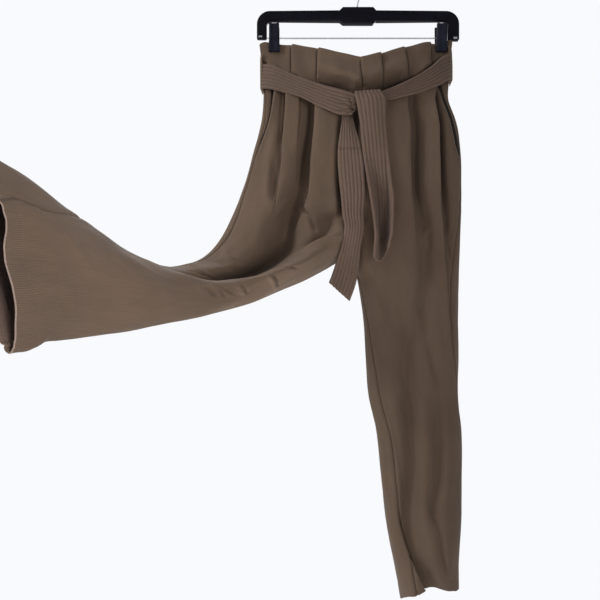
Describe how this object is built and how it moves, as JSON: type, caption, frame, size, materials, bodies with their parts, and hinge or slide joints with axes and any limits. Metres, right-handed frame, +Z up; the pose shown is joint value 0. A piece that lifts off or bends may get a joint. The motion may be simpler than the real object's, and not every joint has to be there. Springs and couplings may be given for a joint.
{
  "type": "paperbag waist trousers on a clip hanger",
  "caption": "Tapered trousers with a gathered paperbag waist and a tied belt, held by a clip hanger, one leg swung out to the front.",
  "frame": {"origin": "the top of the inside of the hanger's hook, where it rests on a rail", "axes": "+Z up; the trousers' front faces -Y; +X is the wearer's left; the hanger lies in the plane Y = 0"},
  "size_m": [0.5646, 0.5667, 1.0991],
  "materials": {
    "brown_cloth": "taupe brown woven cloth with fine lengthwise stripes",
    "pocket_cloth": "the same cloth, in shade",
    "black_plastic": "black, slightly glossy",
    "steel": "plated wire"
  },
  "bodies": {
    "root": {"back_panel_hanging_leg": "brown_cloth", "back_panel_swung_leg": "brown_cloth", "belt_back": "brown_cloth", "belt_knot": "brown_cloth", "belt_left": "brown_cloth", "belt_long_tail": "brown_cloth", "belt_loop_left": "brown_cloth", "belt_loop_right": "brown_cloth", "belt_right": "brown_cloth", "belt_short_tail": "brown_cloth", "clip_left_back_jaw": "black_plastic", "clip_left_front_jaw": "black_plastic", "clip_left_spring": "steel", "clip_right_back_jaw": "black_plastic", "clip_right_front_jaw": "black_plastic", "clip_right_spring": "steel", "front_panel_hanging_leg": "brown_cloth", "front_panel_swung_leg": "brown_cloth", "hanger_bar": "black_plastic", "hanger_hook": "steel", "hanger_wire": "steel", "pocket_facing_hanging_leg": "pocket_cloth", "pocket_facing_swung_leg": "pocket_cloth", "waist_band_back": "brown_cloth", "waist_band_left": "brown_cloth", "waist_band_right": "brown_cloth"}
  },
  "joints": []
}
